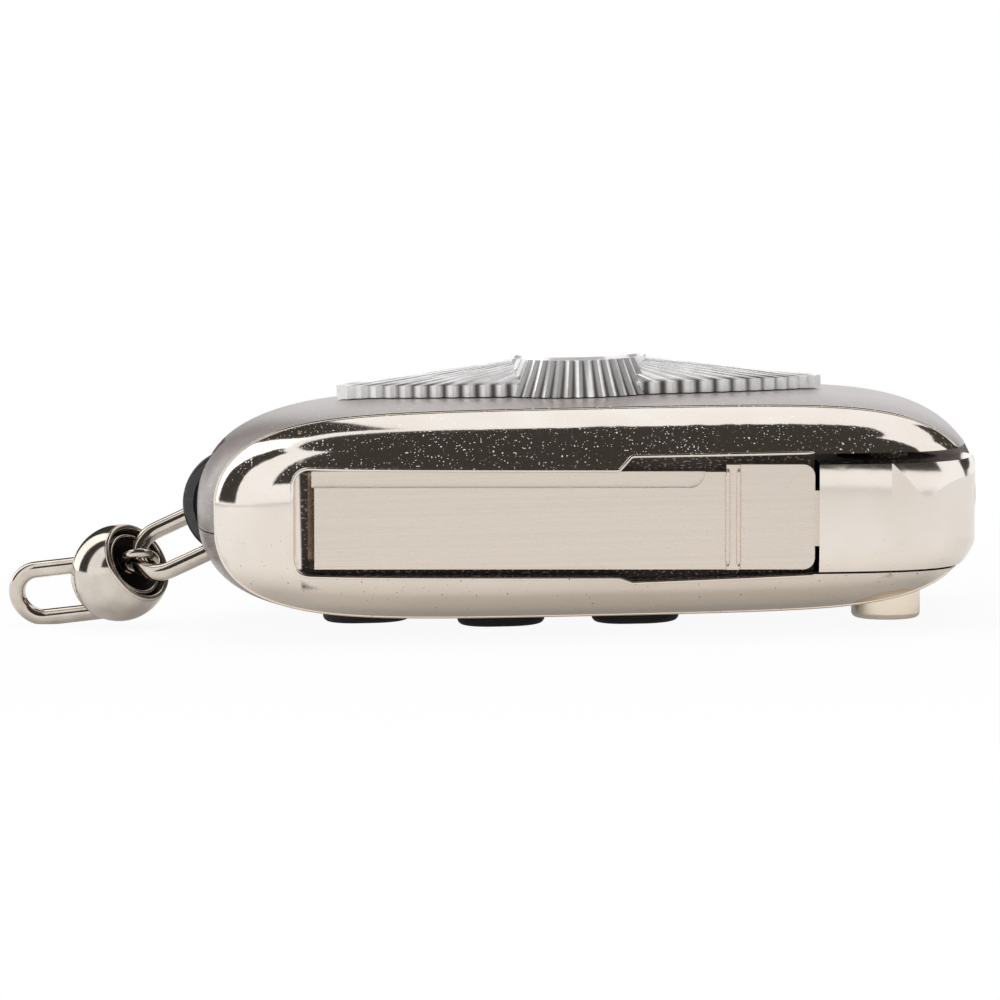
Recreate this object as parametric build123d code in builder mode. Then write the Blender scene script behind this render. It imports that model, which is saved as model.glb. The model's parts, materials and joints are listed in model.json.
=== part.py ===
from build123d import *
from math import cos, radians, sin
import os

os.makedirs("parts", exist_ok=True)

# A flip key remote shell, folded, lying on its buttons. All sizes are in millimetres.
# The origin is on the resting plane, under the middle of the body.
# +X points to the pivot end, -Y to the blade side, +Z to the badge.

# Body: a pebble given by its reach from the middle and by how square its outlines are
body_left = 37.0
body_right = 38.2
body_half_width = 20.0
body_above = 10.55
body_below = 10.65
mid_height = 11.7
plan_left_power = 3.5
plan_right_power = 5.0
plan_side_power = 4.1
end_left_power = 5.0
end_right_power = 5.4
height_power = 2.46
side_power = 2.9
side_height_power = 4.06
wall = 1.5
cover_inset = 0.15
core_shares = (0.85, 0.56)
outline_steps = 12
outline_reach = 80.0

# Side frame and parting of the covers
frame_depth = 7.2
seam_y = frame_depth - body_half_width
seam_recess = 1.2
parting_drop = 1.4
parting_end_drop = 5.4
parting_step_before = 15.8
parting_step_run = 7.0
parting_gap = 0.12

# Key plane: x along the opened blade, z along the pivot, raked against the body
key_rake = 1.2
pivot_from_end = 9.4
pivot_from_side = 10.3
pivot_drop = 0.77

# Pivot drum, measured from the pivot
drum_top = 5.15
drum_bottom = 4.95
drum_radius = 8.4
drum_corner = 9.5
drum_flat = 6.8
drum_gap = 0.3
drum_floor_gap = 0.2
drum_roof_gap = 1.0
spigot_radius = 2.0
spigot_length = 2.0
boss_wall = 1.2
shaft_gap = 0.06
bush_wall = 0.7
bush_height = 1.1
drum_bore = 4.5
drum_bore_top = 3.4

# Blade, folded towards -x of the key plane
blade_tip_from_end = 11.2
blade_face = 8.2
blade_thickness = 2.2
blade_top = 4.35
blade_bottom = 4.8
blade_root_top = 5.05
blade_root_gap = 0.35
blade_collar = 15.5
blade_collar_width = 1.4
blade_collar_proud = 0.3
blade_collar_round = 0.24
blade_tip_bevel = 1.3
blade_tip_cut = 0.65
rebate_height = 1.5
rebate_depth = 0.55
rebate_end = 17.4
tang_length = 5.4
tang_half = 2.6
pin_radius = 0.6
pin_from_flat = 2.6
pin_inset = 0.3
root_corner = 1.1

# Slot of the frame, measured from the pivot in the key plane
slot_tip_gap = 1.3
slot_corner = 1.7
slot_top_gap = 0.2
slot_bottom_gap = 0.6
slot_step_at = 25.5
slot_step_run = 1.2
slot_step_top = 1.3
slot_step_bottom = 0.45
slot_floor_gap = 0.35
slot_wall = 1.3

# Two screws that hold the ears of the frame to the back cover
left_screw_inset = 13.0
right_screw_inset = 32.2
screw_seat_rise = 3.2
screw_radius = 0.8
screw_head_radius = 1.6
screw_head = 1.0
screw_length = 3.6
ear_depth = 4.4
ear_width = 5.0
ear_thickness = 1.2
ear_hold = 0.4

# Release button on the pivot
release_radius = 3.25
release_proud = 0.29
release_flange = 0.9
release_flange_radius = 4.2
release_gap = 0.1
release_round = 0.5
release_stem = 1.6
release_stem_length = 3.2
spring_wire = 0.7
spring_turns = 3.5
spring_end_gap = 0.05
spring_side_gap = 0.4

# Button caps in the front cover
button_pitch = 12.9
button_middle_x = -7.9
button_proud = 1.05
button_length = 8.4
button_width = 11.0
button_corner = 3.4
button_crown = 0.6
button_gap = 0.15
button_flange = 0.7
button_flange_height = 0.6
button_left_rise = 0.6
keypad_rise = 1.95
keypad_end_margin = 1.0
keypad_side_margin = 2.0
flange_lift = 0.05
mat_gap = 0.1
mat_margin = 1.6
mat_thickness = 0.8
dome_height = 0.8
dome_radius = 2.4
dome_taper = 20

# Board tray
tray_length = 33.0
tray_width = 18.0
tray_shift = 0.5
tray_corner = 4.0
tray_floor = 0.8
tray_rim = 1.0
tray_height = 3.0
tray_hole = 3.2

# Badge on the back cover
badge_half_length = 23.3
badge_half_width = 5.0
badge_sink = 0.9
badge_film = 0.1
badge_rim_height = 0.9
badge_flutes = 66
flute_depth = 0.35
ridge_flute = 0.1
boss_top_flute = 0.2
badge_rise = 2.2
ridge_half_width = 2.6
boss_half_length = 8.65
boss_half_width = 7.9
boss_top_length = 6.5
boss_top_width = 5.8
boss_height = 3.2
boss_dome = 0.25
boss_dome_taper = 45
boss_flutes = 44

# Key ring bow at the left end
bow_outer = 5.3
bow_thickness = 1.4
bow_half_width = 0.65
bow_proud = 1.3
bow_rise = 0.28
bow_leg = 4.2
bow_round = 0.4
pocket_half_width = 4.4
pocket_below = 6.2
pocket_above = 6.6
pocket_depth = 3.9

# Link, swivel and ring loop
wire_radius = 0.82
link_half_width = 2.75
link_tilt = 47.2
link_near = (-1.5, 0.0, -1.6)
link_far = (-9.7, 0.0, -5.2)
swivel_axis = (0.695, -0.562, 0.449)
mouth_forward = -0.3
mouth_radius = 4.05
belly_radius = 4.65
base_radius = 3.3
cup_length = 5.9
cup_belly = 0.55
cup_wall = 0.55
cup_base = 1.6
liner_gap = 0.3
liner_wall = 0.45
liner_inset = 0.4
liner_foot = 0.8
press_gap = 0.02
eye_hole = 1.15
eye_wire = 0.45
eye_shank = 0.6
eye_head = 1.2
eye_head_height = 0.6
eye_head_gap = 0.05
loop_half_width = 2.5
loop_wire = 0.8
loop_way = (-0.96, 0.26, -0.116)
loop_side = (-0.178, -0.235, 0.956)
loop_reach = 8.2
loop_sink = 1.3


def fullness(power):
    """Share of the reach at which a cubic quarter follows a rounded outline of this power."""
    return (8 * 0.5 ** (1 / power) - 4) / 3


def level_outline(level, inset):
    """Outline of the body at a share of its height: four cubic quarters, drawn in by a wall.

    The reach at a level follows the end and side powers, and the quarters the plan powers.
    """
    end_share = 1 - abs(level) ** height_power
    side_share = 1 - abs(level) ** side_height_power
    left = body_left * end_share ** (1 / end_left_power) - inset
    right = body_right * end_share ** (1 / end_right_power) - inset
    side = body_half_width * side_share ** (1 / side_power) - inset
    side_pull = side * fullness(plan_side_power)
    left_pull = -left * fullness(plan_left_power)
    right_pull = right * fullness(plan_right_power)
    with BuildSketch(mode=Mode.PRIVATE) as shape:
        with BuildLine():
            Bezier((right, 0), (right, side_pull), (right_pull, side), (0, side))
            Bezier((0, side), (left_pull, side), (-left, side_pull), (-left, 0))
            Bezier((-left, 0), (-left, -side_pull), (left_pull, -side), (0, -side))
            Bezier((0, -side), (right_pull, -side), (right, -side_pull), (right, 0))
        make_face()
    return shape.sketch


def lofted_body(inset):
    """Body solid through level outlines that crowd towards the top and the bottom."""
    with BuildPart() as body:
        for step in range(-outline_steps, outline_steps + 1):
            level = sin(radians(outline_reach * step / outline_steps))
            height = (body_above if level > 0 else body_below) - inset
            with BuildSketch(Plane.XY.offset(mid_height + level * height)):
                add(level_outline(level, inset))
        loft()
    return body.part


# The covers stand a little inside the frame, so that its plated edge shows
frame_body = lofted_body(0)
cover_body = lofted_body(cover_inset)

# Planes of the key mechanism
rake = radians(key_rake)
pivot_x = body_right - pivot_from_end
pivot_y = pivot_from_side - body_half_width
pivot_centre = (pivot_x, pivot_y, mid_height - pivot_drop)
key_plane = Plane(pivot_centre, x_dir=(cos(rake), 0, -sin(rake)), z_dir=(sin(rake), 0, cos(rake)))
# Plane facing the blade side: local x along the opened blade, local y up the pivot
face_plane = Plane(pivot_centre, x_dir=(cos(rake), 0, -sin(rake)), z_dir=(0, -1, 0))

blade_tip = pivot_x + body_left - blade_tip_from_end
blade_root_end = drum_flat + blade_root_gap
slot_end = blade_tip + slot_tip_gap
blade_back = blade_face - blade_thickness
blade_middle = blade_face - blade_thickness / 2
slot_floor = blade_back - slot_floor_gap
slot_top = blade_top + slot_top_gap
slot_bottom = blade_bottom + slot_bottom_gap
pocket_top = drum_top + drum_roof_gap
pocket_bottom = drum_bottom + drum_floor_gap
far = 2 * body_half_width
bush_radius = spigot_radius + shaft_gap + bush_wall
screw_seat = mid_height + screw_seat_rise
screw_spots = (left_screw_inset - body_left, body_right - right_screw_inset)
screw_places = [(x, seam_y + ear_depth / 2) for x in screw_spots]
seam_y_from_pivot = pivot_y - seam_y
ear_root = seam_y - seam_recess - ear_hold
body_floor = mid_height - body_below
keypad_floor = body_floor + keypad_rise
cap_face = body_floor - button_proud
keypad_length = 3 * button_pitch + 2 * keypad_end_margin
keypad_width = button_width + 2 * keypad_side_margin


def slot_shape(grow):
    """Stepped slot with rounded far corners, from the blade's tip to the drum."""
    left = -slot_end - grow
    step = -slot_step_at - grow
    top = slot_top + grow
    bottom = -slot_bottom - grow
    with BuildSketch(mode=Mode.PRIVATE) as shape:
        with BuildLine():
            Polyline(
                (left, bottom),
                (step, bottom),
                (step + slot_step_run, bottom - slot_step_bottom),
                (-drum_flat - drum_gap, -pocket_bottom - grow),
                (0, -pocket_bottom - grow),
                (0, pocket_top + grow),
                (-drum_flat - drum_gap, pocket_top + grow),
                (step + slot_step_run, top + slot_step_top),
                (step, top),
                (left, top),
                close=True,
            )
        make_face()
        fillet(shape.vertices().sort_by(Axis.X)[:2], slot_corner + grow)
    return shape.sketch


def drum_room(grow):
    """Plan of the room in which the drum and the blade's root turn.

    The drum's near corner passes the pivot end and stops on the far side of the pivot.
    """
    with BuildSketch(mode=Mode.PRIVATE) as shape:
        Circle(drum_radius + drum_gap + grow)
        with Locations((-drum_flat - drum_gap - grow, -far)):
            Rectangle(far, far, align=(Align.MIN, Align.MIN))
        with Locations((0, -far)):
            Rectangle(far, far + drum_corner + drum_gap + grow, align=(Align.MIN, Align.MIN))
    return shape.sketch


bow_centre_x = bow_outer - bow_proud - body_left
bow_plane = Plane((bow_centre_x, 0, mid_height + bow_rise), x_dir=(1, 0, 0), z_dir=(0, -1, 0))
bow_inner = bow_outer - bow_thickness


def bow_shape(grow):
    """Half ring with two legs, closed by a bar inside the covers."""
    with BuildSketch(mode=Mode.PRIVATE) as shape:
        Circle(bow_outer + grow)
        Rectangle(bow_leg + grow, 2 * (bow_outer + grow), align=(Align.MIN, Align.CENTER))
        Circle(bow_inner - grow, mode=Mode.SUBTRACT)
        Rectangle(
            bow_leg - bow_thickness - grow,
            2 * (bow_inner - grow),
            align=(Align.MIN, Align.CENTER),
            mode=Mode.SUBTRACT,
        )
    return shape.sketch


# Cavity of the covers, with the blocks left standing that carry slot, drum, bow and keys
with BuildPart() as core:
    for share in core_shares:
        low = mid_height - share * body_below
        with BuildSketch(Plane.XY.offset(low)):
            add(level_outline(share, wall))
        extrude(amount=share * (body_below + body_above))
    with BuildSketch(face_plane.offset(seam_y_from_pivot + seam_recess)):
        add(slot_shape(slot_wall))
    extrude(amount=far, mode=Mode.SUBTRACT)
    with BuildSketch(key_plane.offset(-pocket_bottom - slot_wall)):
        add(drum_room(slot_wall))
    extrude(amount=pocket_top + pocket_bottom + 2 * slot_wall, mode=Mode.SUBTRACT)
    with BuildSketch(Plane.XY.offset(cap_face)):
        with Locations((button_middle_x, 0)):
            RectangleRounded(keypad_length, keypad_width, button_corner)
    extrude(amount=keypad_floor - cap_face, mode=Mode.SUBTRACT)
    with BuildSketch(Plane.XY.offset(mid_height - pocket_below - wall)):
        with Locations((-body_left + pocket_depth + wall, 0)):
            Rectangle(far, 2 * (pocket_half_width + wall), align=(Align.MAX, Align.CENTER))
    extrude(amount=pocket_below + pocket_above + 2 * wall, mode=Mode.SUBTRACT)
    with BuildSketch(key_plane):
        Circle(bush_radius + boss_wall)
    extrude(amount=pocket_top + bush_height + boss_wall, mode=Mode.SUBTRACT)
    with BuildSketch(key_plane):
        Circle(release_radius + shaft_gap + boss_wall)
    extrude(amount=-mid_height, mode=Mode.SUBTRACT)
    with BuildSketch(Plane.XY.offset(screw_seat)):
        with Locations(*screw_places):
            Circle(screw_radius + boss_wall)
    extrude(amount=mid_height, mode=Mode.SUBTRACT)

# Side frame: the plated near slice of the body, with two ears for its screws
with BuildPart() as side_frame:
    add(frame_body)
    add(core.part, mode=Mode.SUBTRACT)
    with BuildSketch(face_plane.offset(slot_floor)):
        add(slot_shape(0))
    extrude(amount=far, mode=Mode.SUBTRACT)
    with BuildSketch(key_plane.offset(-pocket_bottom)):
        add(drum_room(0))
    extrude(amount=pocket_top + pocket_bottom, mode=Mode.SUBTRACT)
    with BuildSketch(key_plane.offset(-pocket_bottom)):
        Circle(release_radius + shaft_gap)
    extrude(amount=-mid_height, mode=Mode.SUBTRACT)
    split(bisect_by=Plane.XZ.offset(-seam_y), keep=Keep.TOP)
    with BuildSketch(Plane.XY.offset(screw_seat - ear_thickness)):
        with Locations(*[(x, ear_root) for x in screw_spots]):
            Rectangle(ear_width, seam_y + ear_depth - ear_root, align=(Align.CENTER, Align.MIN))
    extrude(amount=ear_thickness)
    with BuildSketch(Plane.XY.offset(screw_seat - ear_thickness)):
        with Locations(*screw_places):
            Circle(screw_radius + shaft_gap)
    extrude(amount=ear_thickness, mode=Mode.SUBTRACT)
side_frame.part.label = "side_frame"

# Covers before they are parted: behind the seam, with the bow's pocket and the pivot's holes
with BuildPart() as cover_case:
    add(cover_body)
    add(core.part, mode=Mode.SUBTRACT)
    with BuildSketch(key_plane.offset(-pocket_bottom)):
        add(drum_room(0))
    extrude(amount=pocket_top + pocket_bottom, mode=Mode.SUBTRACT)
    with BuildSketch(Plane.XY.offset(mid_height - pocket_below)):
        with Locations((-body_left + pocket_depth, 0)):
            Rectangle(far, 2 * pocket_half_width, align=(Align.MAX, Align.CENTER))
    extrude(amount=pocket_below + pocket_above, mode=Mode.SUBTRACT)
    with BuildSketch(bow_plane.offset(-bow_half_width - shaft_gap)):
        add(bow_shape(shaft_gap))
    extrude(amount=2 * (bow_half_width + shaft_gap), mode=Mode.SUBTRACT)
    with BuildSketch(key_plane.offset(pocket_top)):
        Circle(bush_radius + shaft_gap)
    extrude(amount=bush_height + shaft_gap, mode=Mode.SUBTRACT)
    with BuildSketch(key_plane.offset(-pocket_bottom)):
        Circle(release_radius + shaft_gap)
    extrude(amount=-mid_height, mode=Mode.SUBTRACT)
    split(bisect_by=Plane.XZ.offset(-seam_y), keep=Keep.BOTTOM)

# The covers meet on a level line that steps down round the drum
parting_z = mid_height - parting_drop
parting_end_z = mid_height - parting_end_drop
parting_step_end = pivot_x - parting_step_before + parting_step_run


def space_above_parting(drop):
    """All the space above the parting line, lowered by a drop."""
    with BuildPart() as space:
        with BuildSketch(Plane.XZ.offset(-far)):
            with BuildLine():
                Polyline(
                    (-far, parting_z - drop),
                    (parting_step_end - parting_step_run, parting_z - drop),
                    (parting_step_end, parting_end_z - drop),
                    (far, parting_end_z - drop),
                    (far, far),
                    (-far, far),
                    close=True,
                )
            make_face()
        extrude(amount=2 * far)
    return space.part


# Back cover, with the socket of the pivot and two screw bosses
with BuildPart() as back_cover:
    add(cover_case.part)
    add(space_above_parting(0), mode=Mode.INTERSECT)
    with BuildSketch(Plane.XY.offset(screw_seat)):
        with Locations(*screw_places):
            Circle(screw_radius)
    extrude(amount=screw_length - ear_thickness, mode=Mode.SUBTRACT)
back_cover.part.label = "back_cover"

button_places = [
    (button_middle_x - button_pitch, button_left_rise, "button_left"),
    (button_middle_x, 0, "button_middle"),
    (button_middle_x + button_pitch, 0, "button_right"),
]

# Front cover, with its three button holes over a flat keypad floor
with BuildPart() as front_cover:
    add(cover_case.part)
    add(space_above_parting(parting_gap), mode=Mode.SUBTRACT)
    with BuildSketch(Plane.XY.offset(cap_face)):
        with Locations(*[(x, 0) for x, rise, name in button_places]):
            RectangleRounded(
                button_length + 2 * button_gap,
                button_width + 2 * button_gap,
                button_corner + button_gap,
            )
    extrude(amount=keypad_floor - cap_face, mode=Mode.SUBTRACT)
front_cover.part.label = "front_cover"

# Button caps: crowned face, straight sides, and a flange that keeps them in
caps = []
flange_seat = keypad_floor + flange_lift
for x, rise, name in button_places:
    with BuildPart() as cap:
        with BuildSketch(Plane.XY.offset(cap_face + rise)):
            with Locations((x, 0)):
                RectangleRounded(button_length, button_width, button_corner)
        extrude(amount=flange_seat - cap_face - rise)
        fillet(cap.faces().sort_by(Axis.Z)[0].edges(), button_crown)
        with BuildSketch(Plane.XY.offset(flange_seat)):
            with Locations((x, 0)):
                RectangleRounded(
                    button_length + 2 * button_flange,
                    button_width + 2 * button_flange,
                    button_corner + button_flange,
                )
        extrude(amount=button_flange_height)
    cap.part.label = name
    caps.append(cap.part)

# Keypad mat: a soft sheet on the keypad floor, with a hollow dome over each cap
mat_base = flange_seat + button_flange_height + mat_gap
mat_length = 3 * button_pitch
mat_width = button_width + 2 * mat_margin
with BuildPart() as keypad_mat:
    with BuildSketch(Plane.XY.offset(keypad_floor)):
        with Locations((button_middle_x, 0)):
            RectangleRounded(mat_length, mat_width, button_corner)
        with Locations(*[(x, 0) for x, rise, name in button_places]):
            RectangleRounded(
                button_length + 2 * button_flange + 4 * button_gap,
                button_width + 2 * button_flange + 4 * button_gap,
                button_corner + button_flange,
                mode=Mode.SUBTRACT,
            )
    extrude(amount=mat_base - keypad_floor)
    with BuildSketch(Plane.XY.offset(mat_base)):
        with Locations((button_middle_x, 0)):
            RectangleRounded(mat_length, mat_width, button_corner)
    extrude(amount=mat_thickness)
    with BuildSketch(Plane.XY.offset(mat_base + mat_thickness)):
        with Locations(*[(x, 0) for x, rise, name in button_places]):
            Circle(dome_radius)
    extrude(amount=dome_height, taper=dome_taper)
keypad_mat.part.label = "keypad_mat"

# Board tray: open carrier for the circuit board, resting on the mat's domes
tray_base = mat_base + mat_thickness + dome_height + mat_gap
with BuildPart() as board_tray:
    with BuildSketch(Plane.XY.offset(tray_base)):
        with Locations((button_middle_x, tray_shift)):
            RectangleRounded(tray_length, tray_width, tray_corner)
    extrude(amount=tray_floor)
    with BuildSketch(Plane.XY.offset(tray_base + tray_floor)):
        with Locations((button_middle_x, tray_shift)):
            RectangleRounded(tray_length, tray_width, tray_corner)
            RectangleRounded(
                tray_length - 2 * tray_rim,
                tray_width - 2 * tray_rim,
                tray_corner - tray_rim,
                mode=Mode.SUBTRACT,
            )
    extrude(amount=tray_height)
    with BuildSketch(Plane.XY.offset(tray_base)):
        with Locations((button_middle_x - tray_length / 4, tray_shift)):
            Circle(tray_hole)
    extrude(amount=tray_floor, mode=Mode.SUBTRACT)
board_tray.part.label = "board_tray"

# Screws: pan heads under the ears, shanks up into the bosses
with BuildPart() as frame_screws:
    with BuildSketch(Plane.XY.offset(screw_seat - ear_thickness)):
        with Locations(*screw_places):
            Circle(screw_radius)
    extrude(amount=screw_length)
    with BuildSketch(Plane.XY.offset(screw_seat - ear_thickness)):
        with Locations(*screw_places):
            Circle(screw_head_radius)
    extrude(amount=-screw_head)
frame_screws.part.label = "frame_screws"

# Pivot drum: flush with the body outside, round inside, with a flat that carries the blade
with BuildPart() as pivot_drum:
    with BuildSketch(key_plane.offset(-drum_bottom)):
        Circle(drum_radius)
        with Locations((-drum_flat, 0)):
            Rectangle(drum_flat, far, align=(Align.MIN, Align.MAX))
    extrude(amount=drum_bottom + drum_top)
    add(frame_body, mode=Mode.INTERSECT)
    with BuildSketch(key_plane.offset(drum_top)):
        Circle(spigot_radius)
    extrude(amount=spigot_length)
    with BuildSketch(key_plane.offset(-drum_bottom)):
        Circle(drum_bore)
    extrude(amount=drum_bottom + drum_bore_top, mode=Mode.SUBTRACT)
    with BuildSketch(face_plane.offset(blade_back)):
        with Locations((-drum_flat, 0)):
            Rectangle(tang_length, 2 * tang_half, align=(Align.MIN, Align.CENTER))
    extrude(amount=blade_thickness, mode=Mode.SUBTRACT)
    with BuildSketch(key_plane.offset(-drum_bottom)):
        with Locations((pin_from_flat - drum_flat, -blade_middle)):
            Circle(pin_radius)
    extrude(amount=drum_bottom + drum_top, mode=Mode.SUBTRACT)
pivot_drum.part.label = "pivot_drum"

# Blade: flat bar with a collar, a milled step along its upper edge and a tang in the drum
with BuildPart() as blade:
    with BuildSketch(face_plane.offset(blade_back)):
        with BuildLine():
            Polyline(
                (-blade_tip, -blade_bottom),
                (-blade_root_end, -blade_bottom),
                (-blade_root_end, blade_root_top),
                (-blade_collar, blade_root_top),
                (-blade_collar, blade_top),
                (-blade_tip, blade_top),
                close=True,
            )
        make_face()
    extrude(amount=blade_thickness)
    fillet(blade.edges().filter_by(Axis.Y).sort_by(Axis.X)[-2:], root_corner)
    with BuildSketch(face_plane.offset(blade_face)):
        with Locations((-blade_collar, -blade_bottom)):
            Rectangle(
                blade_collar_width,
                blade_bottom + blade_root_top,
                align=(Align.MIN, Align.MIN),
            )
    extrude(amount=blade_collar_proud)
    fillet(blade.faces().sort_by(Axis.Y)[0].edges().filter_by(Plane.XZ), blade_collar_round)
    with BuildSketch(face_plane.offset(blade_face - rebate_depth)):
        with BuildLine():
            Polyline(
                (-blade_tip, blade_top),
                (-blade_tip, blade_top - rebate_height),
                (-rebate_end - rebate_height, blade_top - rebate_height),
            )
            RadiusArc(
                (-rebate_end - rebate_height, blade_top - rebate_height),
                (-rebate_end, blade_top),
                -rebate_height,
            )
            Line((-rebate_end, blade_top), (-blade_tip, blade_top))
        make_face()
    extrude(amount=rebate_depth, mode=Mode.SUBTRACT)
    tip_face = blade.faces().sort_by(Axis.X)[0]
    chamfer(tip_face.edges().sort_by(Axis.Y)[0], blade_tip_cut, blade_tip_bevel)
    with BuildSketch(face_plane.offset(blade_back)):
        with Locations((-blade_root_end, 0)):
            Rectangle(
                tang_length - drum_flat + blade_root_end,
                2 * tang_half,
                align=(Align.MIN, Align.CENTER),
            )
    extrude(amount=blade_thickness)
    with BuildSketch(key_plane.offset(-drum_bottom)):
        with Locations((pin_from_flat - drum_flat, -blade_middle)):
            Circle(pin_radius)
    extrude(amount=drum_bottom + drum_top, mode=Mode.SUBTRACT)
blade.part.label = "blade"

with BuildPart() as blade_pin:
    with BuildSketch(key_plane.offset(pin_inset - drum_bottom)):
        with Locations((pin_from_flat - drum_flat, -blade_middle)):
            Circle(pin_radius)
    extrude(amount=drum_bottom + drum_top - 2 * pin_inset)
blade_pin.part.label = "blade_pin"

# Bush of the pivot, pressed into the back cover
with BuildPart() as pivot_bush:
    with BuildSketch(key_plane.offset(pocket_top)):
        Circle(bush_radius)
        Circle(spigot_radius + shaft_gap, mode=Mode.SUBTRACT)
    extrude(amount=bush_height)
pivot_bush.part.label = "pivot_bush"

# Release button: round head through the front cover, flange and stem inside the drum
release_head = body_below - pivot_drop + release_proud
flange_under = pocket_bottom - release_gap
with BuildPart() as release_button:
    with BuildSketch(key_plane.offset(-release_head)):
        Circle(release_radius)
    extrude(amount=release_head - flange_under)
    fillet(release_button.faces().sort_by(Axis.Z)[0].edges(), release_round)
    with BuildSketch(key_plane.offset(-flange_under)):
        Circle(release_flange_radius)
    extrude(amount=release_flange)
    with BuildSketch(key_plane.offset(release_flange - flange_under)):
        Circle(release_stem)
    extrude(amount=release_stem_length)
release_button.part.label = "release_button"

# Coil spring between the flange and the top of the drum's bore
spring_low = release_flange - flange_under + spring_wire / 2 + spring_end_gap
spring_high = drum_bore_top - spring_wire / 2 - spring_end_gap
spring_radius = drum_bore - spring_wire / 2 - spring_side_gap
with BuildPart() as flip_spring:
    with BuildLine(key_plane.offset(spring_low)):
        coil = Helix(
            pitch=(spring_high - spring_low) / spring_turns,
            height=spring_high - spring_low,
            radius=spring_radius,
        )
    with BuildSketch(Plane(coil @ 0, z_dir=coil % 0)):
        Circle(spring_wire / 2)
    sweep(path=coil, is_frenet=True)
flip_spring.part.label = "flip_spring"


def reeded_oval(half_length, half_width, flutes, depth):
    """Oval whose edge steps in and out once for each flute, evenly along its length."""
    rim = Edge.make_ellipse(half_length, half_width)
    points = []
    for step in range(2 * flutes):
        place = rim.position_at(step / (2 * flutes))
        out = Vector(place.X / half_length**2, place.Y / half_width**2, 0).normalized()
        points.append(place - out * (depth if step % 2 else 0))
    with BuildSketch(mode=Mode.PRIVATE) as shape:
        with BuildLine():
            Polyline(*points, close=True)
        make_face()
    return shape.sketch


# Badge: reeded oval plate that rises to a reeded boss, seated on the crown of the cover
badge_base = mid_height + body_above - badge_sink
plate_top = mid_height + body_above + badge_rim_height
boss_top = mid_height + body_above + boss_height
with BuildPart() as badge:
    with BuildSketch(Plane.XY.offset(badge_base)):
        add(reeded_oval(badge_half_length, badge_half_width, badge_flutes, flute_depth))
    extrude(amount=plate_top - badge_base)
    with BuildSketch(Plane.XY.offset(plate_top)):
        add(reeded_oval(badge_half_length, badge_half_width, badge_flutes, flute_depth))
    with BuildSketch(Plane.XY.offset(plate_top + badge_rise)):
        add(reeded_oval(boss_top_length, ridge_half_width, badge_flutes, ridge_flute))
    loft(ruled=True)
    with BuildSketch(Plane.XY.offset(badge_base)):
        add(reeded_oval(boss_half_length, boss_half_width, boss_flutes, flute_depth))
    with BuildSketch(Plane.XY.offset(boss_top)):
        add(reeded_oval(boss_top_length, boss_top_width, boss_flutes, boss_top_flute))
    loft(ruled=True)
    with BuildSketch(Plane.XY.offset(boss_top)):
        Ellipse(boss_top_length - flute_depth, boss_top_width - flute_depth)
    extrude(amount=boss_dome, taper=boss_dome_taper)
    with Locations((0, 0, badge_film)):
        add(cover_body, mode=Mode.SUBTRACT)
badge.part.label = "badge"

# Key ring bow: a closed ring with its bar behind the wall of the covers
with BuildPart() as keyring_bow:
    with BuildSketch(bow_plane.offset(-bow_half_width)):
        add(bow_shape(0))
    extrude(amount=2 * bow_half_width)
    fillet(
        keyring_bow.edges().group_by(Axis.Y)[0] + keyring_bow.edges().group_by(Axis.Y)[-1],
        bow_round,
    )
keyring_bow.part.label = "keyring_bow"

# Frames of the chain: the link leans from the bow down to the swivel
link_start = Vector(*link_near) + Vector(bow_centre_x, 0, mid_height)
link_end = Vector(*link_far) + Vector(bow_centre_x, 0, mid_height)
link_way = (link_end - link_start).normalized()
link_up = Vector(link_way.Z, 0, -link_way.X)
lean = radians(link_tilt)
link_across = link_up * cos(lean) + Vector(0, 1, 0) * sin(lean)
link_plane = Plane(
    (link_start + link_end) / 2, x_dir=link_way, z_dir=link_way.cross(link_across)
)
cup_way = Vector(*swivel_axis).normalized()
eye_axis = (link_across - cup_way * link_across.dot(cup_way)).normalized()
cup_plane = Plane(link_end, x_dir=eye_axis, z_dir=cup_way)


def wire_bend(plane, x, half_width, radius, turn):
    """Half turn of wire about a point of the plane, from its +y side."""
    start = Plane(plane.from_local_coords((x, half_width, 0)), x_dir=plane.y_dir, z_dir=plane.x_dir)
    with BuildPart() as bend:
        with BuildSketch(start):
            Circle(radius)
        revolve(
            axis=Axis(plane.from_local_coords((x, 0, 0)), plane.z_dir),
            revolution_arc=turn,
        )
    return bend.part


def wire_run(plane, x_from, x_to, y, radius):
    """Straight wire along the x direction of the plane."""
    start = Plane(plane.from_local_coords((x_from, y, 0)), x_dir=plane.y_dir, z_dir=plane.x_dir)
    with BuildPart() as run:
        with BuildSketch(start):
            Circle(radius)
        extrude(amount=x_to - x_from)
    return run.part


link_straight = (link_end - link_start).length / 2 - link_half_width
with BuildPart() as link_ring:
    add(wire_bend(link_plane, -link_straight, link_half_width, wire_radius, 180))
    add(wire_bend(link_plane, link_straight, link_half_width, wire_radius, -180))
    add(wire_run(link_plane, -link_straight, link_straight, link_half_width, wire_radius))
    add(wire_run(link_plane, -link_straight, link_straight, -link_half_width, wire_radius))
link_ring.part.label = "link_ring"

# Swivel eye: ring round the link, shank through the cup and a riveted head behind it
cup_back = mouth_forward - cup_length
eye_radius = eye_hole + eye_wire
eye_side = cup_plane.from_local_coords((0, eye_radius, 0))
eye_section = Plane(eye_side, x_dir=cup_plane.y_dir, z_dir=cup_plane.z_dir)
with BuildPart() as swivel_eye:
    with BuildSketch(eye_section):
        Circle(eye_wire)
    revolve(axis=Axis(link_end, eye_axis))
    with BuildSketch(cup_plane.offset(-eye_radius)):
        Circle(eye_shank)
    extrude(amount=cup_back - eye_head_height + eye_radius)
    with BuildSketch(cup_plane.offset(cup_back - eye_head_gap)):
        Circle(eye_head)
    extrude(amount=-eye_head_height)
swivel_eye.part.label = "swivel_eye"

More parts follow.
